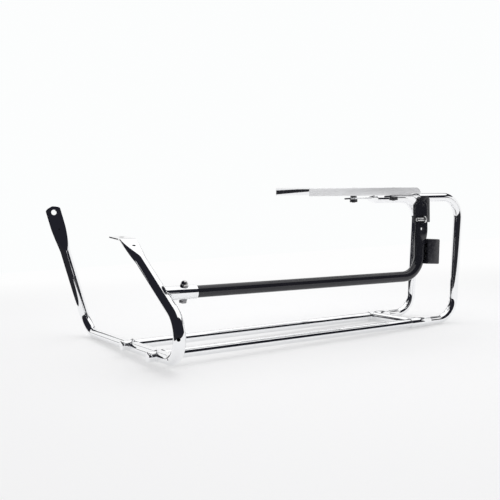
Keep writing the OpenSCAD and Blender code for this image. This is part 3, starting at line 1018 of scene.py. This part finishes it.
class GUARD_OT_welds(bpy.types.Operator):
    """Lay the weld beads at the joints of the cage"""

    bl_idname = "saddlebag_guard.welds"
    bl_label = "Weld beads"

    def execute(self, context):
        weld = chrome("weld chrome", 0.10, 0.9)
        r = sizes().bead_radius / MM
        lines = []
        for name, y in (("near", NEAR_RAIL), ("far", FAR_RAIL)):
            lines.append((name + "_rail_weld", saddle(y, 1), r, "rail_chrome"))
            lines.append((name + "_stub_weld", saddle(y, -1), r, "rail_chrome"))
            lines.append((name + "_socket_weld", socket_end(y), LIP_BEAD, "rail_chrome"))
        for name, y, way in (("near", -NEAR_RAIL, 1), ("far", -FAR_RAIL, -1)):
            lines.append((name + "_crossbar_weld", crossbar_end(y, way), r, "rail_chrome"))
        lines.append(("sleeve_weld", sleeve_end(), r * 1.1, "sleeve_chrome"))
        for k, (name, line, radius, slot) in enumerate(lines):
            obj = add_mesh(name, bead(line, radius, k * 0.7), weld, 80)
            carried(obj, slot)
        return {"FINISHED"}


# Camera: place, heading from +Y towards +X, dip, roll, focal length and sensor width
EYE = Vector((-399.092, -1591.849, -20.540)) * MM
AIM, DIP, ROLL = 29.699, 2.763, -1.510
LENS, SENSOR = 50.18, 36.0
# Floor: height in metres under the front bend, where that is, and slope along the rails
FLOOR_Z, FLOOR_FROM, FLOOR_SLOPE = -0.28705, 0.07, 0.0165
# Where the white floor ends for what mirrors it: towards the viewer, and at the left
TABLE_EDGE, TABLE_SIDE, TABLE_SKEW = -0.72, -0.13, 0.1752
# Share of plain white in the floor near the part, and what is added to it far behind
NEAR_WHITE, FAR_WHITE = 0.36, 0.60
# Glowing cards, in metres: name, strength and corners
CARDS = (
    (
        "roof_card",
        1.15,
        [(0.10, -1.05, 0.75), (1.62, -1.05, 0.75), (1.62, 1.1, 0.75), (0.10, 1.1, 0.75)],
    ),
    (
        "right_card",
        0.95,
        [(1.3, -0.95, -0.27), (1.3, 1.6, -0.27), (1.3, 1.6, 0.25), (1.3, -0.95, 0.25)],
    ),
    (
        "back_card",
        0.95,
        [(-0.9, 1.7, -0.27), (2.6, 1.7, -0.27), (2.6, 1.7, 0.8), (-0.9, 1.7, 0.8)],
    ),
)


def eye_axes():
    """Right, up and forward of the camera."""
    a, d, o = (math.radians(v) for v in (AIM, DIP, ROLL))
    ahead = Vector((math.sin(a) * math.cos(d), math.cos(a) * math.cos(d), -math.sin(d)))
    flat = Vector((math.cos(a), -math.sin(a), 0))
    high = flat.cross(ahead)
    right = flat * math.cos(o) + high * math.sin(o)
    up = high * math.cos(o) - flat * math.sin(o)
    return right, up, ahead


def floor_height(x):
    """Height of the floor under a place along the rails."""
    return FLOOR_Z + FLOOR_SLOPE * (x - FLOOR_FROM)


def card(name, corners, material):
    """Flat stage card through four corners."""
    bm = bmesh.new()
    bm.faces.new([bm.verts.new(c) for c in corners])
    obj = add_mesh(name, bm, material)
    return obj


def glowing(name, strength):
    """White card that lights what mirrors it."""
    mat = bpy.data.materials.new(name)
    t = Tree(mat)
    t.surface(t.node("ShaderNodeEmission", None, {"Color": (1, 1, 1), "Strength": strength}))
    return mat


def floor_paper():
    """White floor that keeps the shadow and ends in the dark for what mirrors it."""
    mat = bpy.data.materials.new("floor paper")
    t = Tree(mat)
    paper = t.node("ShaderNodeBsdfDiffuse", None, {"Color": (*colours().floor,)})
    white = t.node("ShaderNodeEmission", None, {"Color": (1, 1, 1), "Strength": 1.0})
    camera = t.node("ShaderNodeLightPath", out="Is Camera Ray")
    glossy = t.node("ShaderNodeLightPath", out="Is Glossy Ray")
    where = t.node("ShaderNodeNewGeometry", out="Position")
    x = t.node("ShaderNodeSeparateXYZ", None, [where], out="X")
    y = t.node("ShaderNodeSeparateXYZ", None, [where], out="Y")
    ahead = eye_axes()[2]
    depth = x * ahead.x + y * ahead.y
    inside = (depth > TABLE_EDGE) * ((x - y * TABLE_SKEW) > TABLE_SIDE)
    far = t.node(
        "ShaderNodeMapRange",
        {"interpolation_type": "SMOOTHSTEP"},
        {"Value": depth, "From Min": 0.35, "From Max": 1.6},
    )
    lift = far * FAR_WHITE + NEAR_WHITE
    lit = t.node("ShaderNodeMixShader", None, [(camera + glossy) * lift, paper, white])
    night = t.node("ShaderNodeEmission", None, {"Color": (0.02, 0.02, 0.024), "Strength": 1.0})
    t.surface(t.node("ShaderNodeMixShader", None, [glossy * (1 - inside), lit, night]))
    return mat


class GUARD_OT_stage(bpy.types.Operator):
    """Set the camera, the floor, the sweep and the lights"""

    bl_idname = "saddlebag_guard.stage"
    bl_label = "Stage"

    def execute(self, context):
        scene = context.scene
        scene.view_settings.view_transform = "Standard"
        lens = bpy.data.cameras.new("camera")
        lens.lens, lens.sensor_width = LENS, SENSOR
        lens.clip_start, lens.clip_end = 0.02, 60
        eye = bpy.data.objects.new("camera", lens)
        right, up, ahead = eye_axes()
        eye.matrix_world = Matrix(
            (
                (right.x, up.x, -ahead.x, EYE.x),
                (right.y, up.y, -ahead.y, EYE.y),
                (right.z, up.z, -ahead.z, EYE.z),
                (0, 0, 0, 1),
            )
        )
        scene.collection.objects.link(eye)
        scene.camera = eye
        corners = [(-5, -4), (6, -4), (6.5, 1.75), (-5, 2.6)]
        card("floor", [(x, y, floor_height(x)) for x, y in corners], floor_paper())
        self.cards()
        self.sky(scene)
        self.lamps(scene)
        return {"FINISHED"}

    def cards(self):
        """Glowing cards that only what mirrors them sees."""
        for name, strength, corners in CARDS:
            obj = card(name, corners, glowing(name, strength))
            obj.visible_camera = False
            obj.visible_diffuse = False
            obj.visible_shadow = False

    def sky(self, scene):
        """Pale backdrop and fill light, dark to what mirrors it."""
        world = bpy.data.worlds.new("sky")
        scene.world = world
        t = Tree(world)
        glossy = t.node("ShaderNodeLightPath", out="Is Glossy Ray")
        camera = t.node("ShaderNodeLightPath", out="Is Camera Ray")
        tone = t.blend(camera, (0.78, 0.78, 0.79), (0.975, 0.985, 0.985))
        tone = t.blend(glossy, tone, (0.016, 0.016, 0.022))
        back = t.node("ShaderNodeBackground", None, {"Color": tone, "Strength": 1.0})
        t.node("ShaderNodeOutputWorld", None, {"Surface": back})

    def lamps(self, scene):
        """Soft lamp overhead."""
        lamp = bpy.data.lights.new("soft lamp", "AREA")
        lamp.shape, lamp.size, lamp.size_y, lamp.energy = "RECTANGLE", 1.0, 2.0, 6
        obj = bpy.data.objects.new("soft lamp", lamp)
        obj.location = (0.6, -0.1, 0.9)
        obj.visible_glossy = False
        obj.visible_camera = False
        scene.collection.objects.link(obj)


class GUARD_PT_panel(bpy.types.Panel):
    """Sizes, colours and pieces of the saddlebag guard"""

    bl_idname = "GUARD_PT_panel"
    bl_label = "Saddlebag guard"
    bl_space_type = "VIEW_3D"
    bl_region_type = "UI"
    bl_category = "Saddlebag guard"

    def draw(self, context):
        for group in (context.scene.guard_sizes, context.scene.guard_colours):
            for key in group.__annotations__:
                self.layout.prop(group, key)
        for piece in PIECES:
            self.layout.operator(piece.bl_idname)


PIECES = (
    GUARD_OT_stage,
    GUARD_OT_front_guard,
    GUARD_OT_rails,
    GUARD_OT_hoops,
    GUARD_OT_channel,
    GUARD_OT_support,
    GUARD_OT_fasteners,
    GUARD_OT_welds,
)
CLASSES = (GuardSizes, GuardColours, *PIECES, GUARD_PT_panel)


def register():
    """Registers the settings, the operators and the panel."""
    for cls in CLASSES:
        bpy.utils.register_class(cls)
    bpy.types.Scene.guard_sizes = PointerProperty(type=GuardSizes)
    bpy.types.Scene.guard_colours = PointerProperty(type=GuardColours)


def unregister():
    """Takes them out again, in the other order."""
    del bpy.types.Scene.guard_colours
    del bpy.types.Scene.guard_sizes
    for cls in reversed(CLASSES):
        bpy.utils.unregister_class(cls)


def main():
    register()
    ops = bpy.ops.saddlebag_guard
    ops.stage()
    ops.front_guard()
    ops.rails()
    ops.hoops()
    ops.channel()
    ops.support()
    ops.fasteners()
    ops.welds()


if __name__ == "__main__":
    main()
